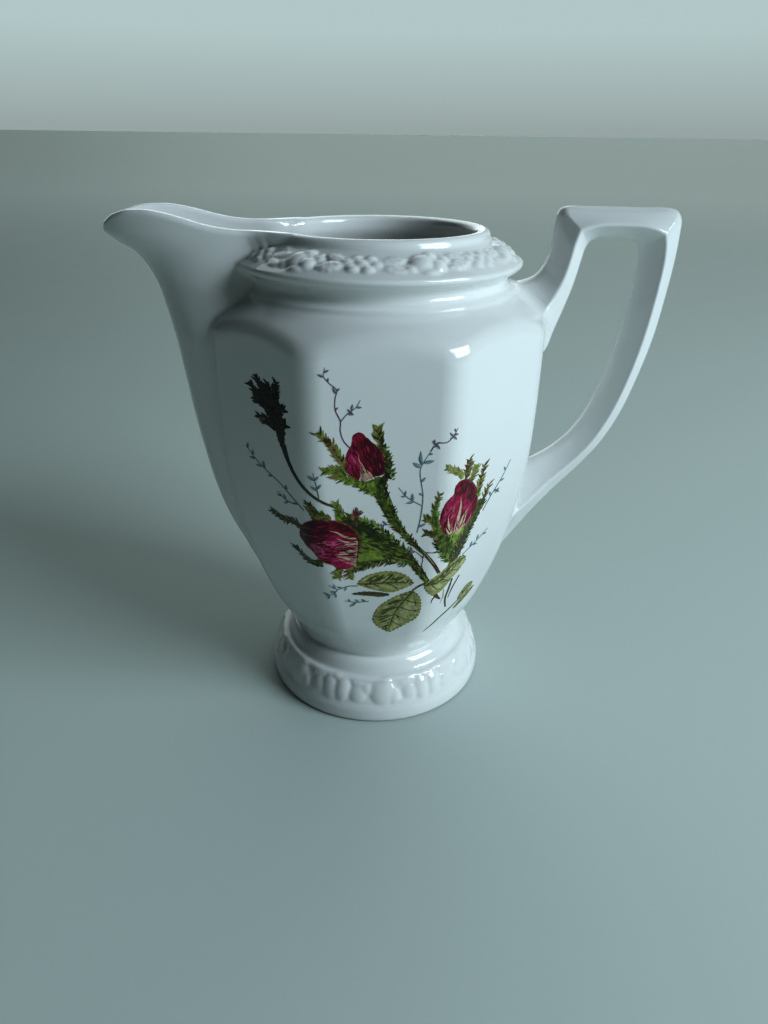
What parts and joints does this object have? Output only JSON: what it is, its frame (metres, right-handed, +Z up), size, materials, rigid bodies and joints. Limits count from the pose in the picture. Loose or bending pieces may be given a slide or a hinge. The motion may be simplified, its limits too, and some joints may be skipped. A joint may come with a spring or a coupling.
{
  "type": "porcelain cream jug",
  "caption": "Footed octagonal porcelain cream jug with relief collar and foot, beak spout and ridged angular handle.",
  "frame": {"origin": "middle of the jug's bounding box in plan, at table level; the pot's own axis stands at x = -3.7 mm", "axes": "+X towards the handle, -X towards the spout, +Z up out of the mouth"},
  "size_m": [0.131, 0.0748, 0.125],
  "materials": {
    "glazed_porcelain": "gloss"
  },
  "bodies": {
    "root": {"foot": "glazed_porcelain", "body": "glazed_porcelain", "neck": "glazed_porcelain", "collar": "glazed_porcelain", "spout": "glazed_porcelain", "handle": "glazed_porcelain"}
  },
  "joints": []
}
